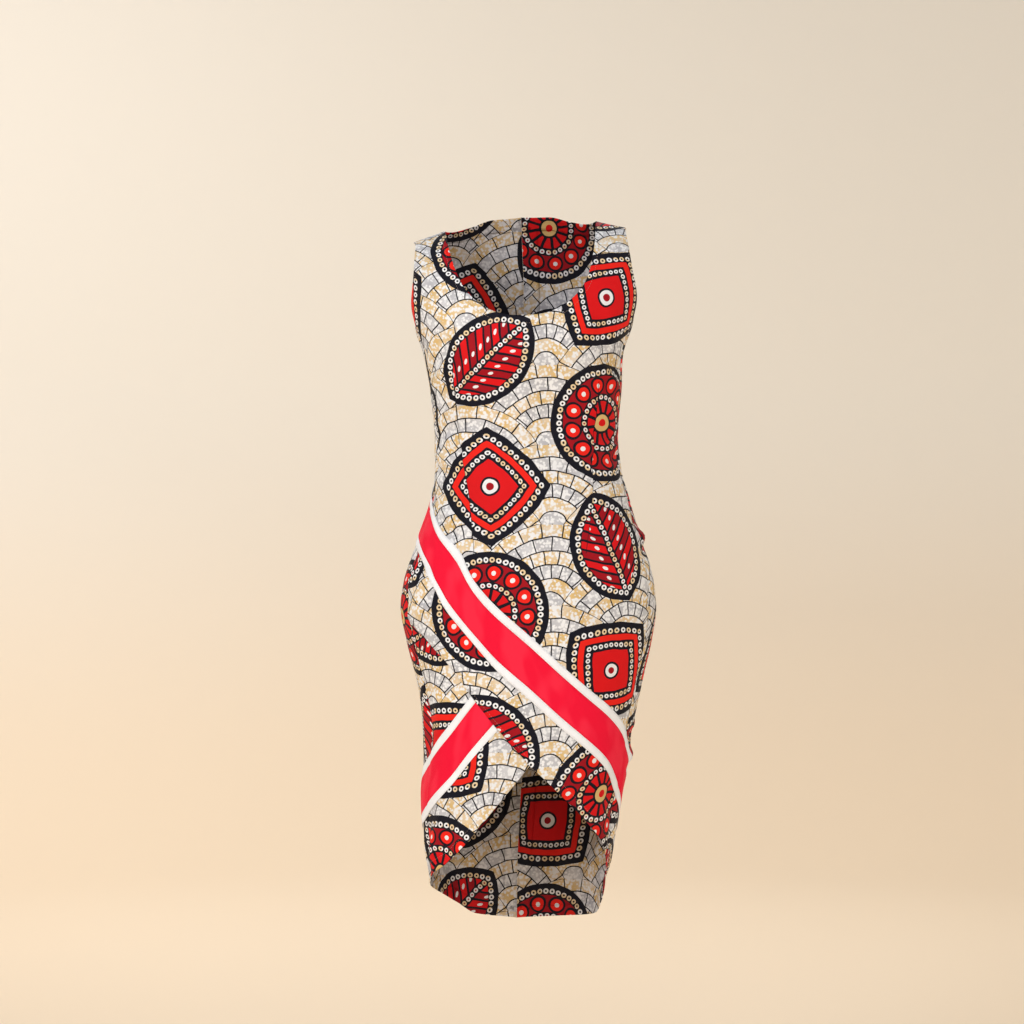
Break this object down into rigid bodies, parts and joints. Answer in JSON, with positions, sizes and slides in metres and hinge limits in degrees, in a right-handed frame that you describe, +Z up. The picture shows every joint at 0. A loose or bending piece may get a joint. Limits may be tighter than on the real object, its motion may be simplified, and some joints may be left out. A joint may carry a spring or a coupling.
{
  "type": "ankara wax print dress",
  "caption": "Sleeveless fitted knee-length dress in wax print cotton, with a scoop neck, a crossed tulip-shaped front hem and plain slanting bands.",
  "frame": {"origin": "midway between the two shoulder straps, level with the middle of the shoulders", "axes": "+Z up the worn dress, -Y towards its front, +X towards the wearer's left"},
  "size_m": [0.3648, 0.2523, 1.0227],
  "materials": {
    "printed_cotton": "plain-weave cotton with a wax-resist print",
    "crimson_band": "plain dyed cotton",
    "white_edging": "plain white cotton"
  },
  "bodies": {
    "root": {"front_over_panel": "printed_cotton", "front_under_panel": "printed_cotton", "back_left": "printed_cotton", "back_right": "printed_cotton", "long_band": "crimson_band", "long_band_upper_edge": "white_edging", "long_band_lower_edge": "white_edging", "short_band": "crimson_band", "short_band_upper_edge": "white_edging", "short_band_lower_edge": "white_edging"}
  },
  "joints": []
}
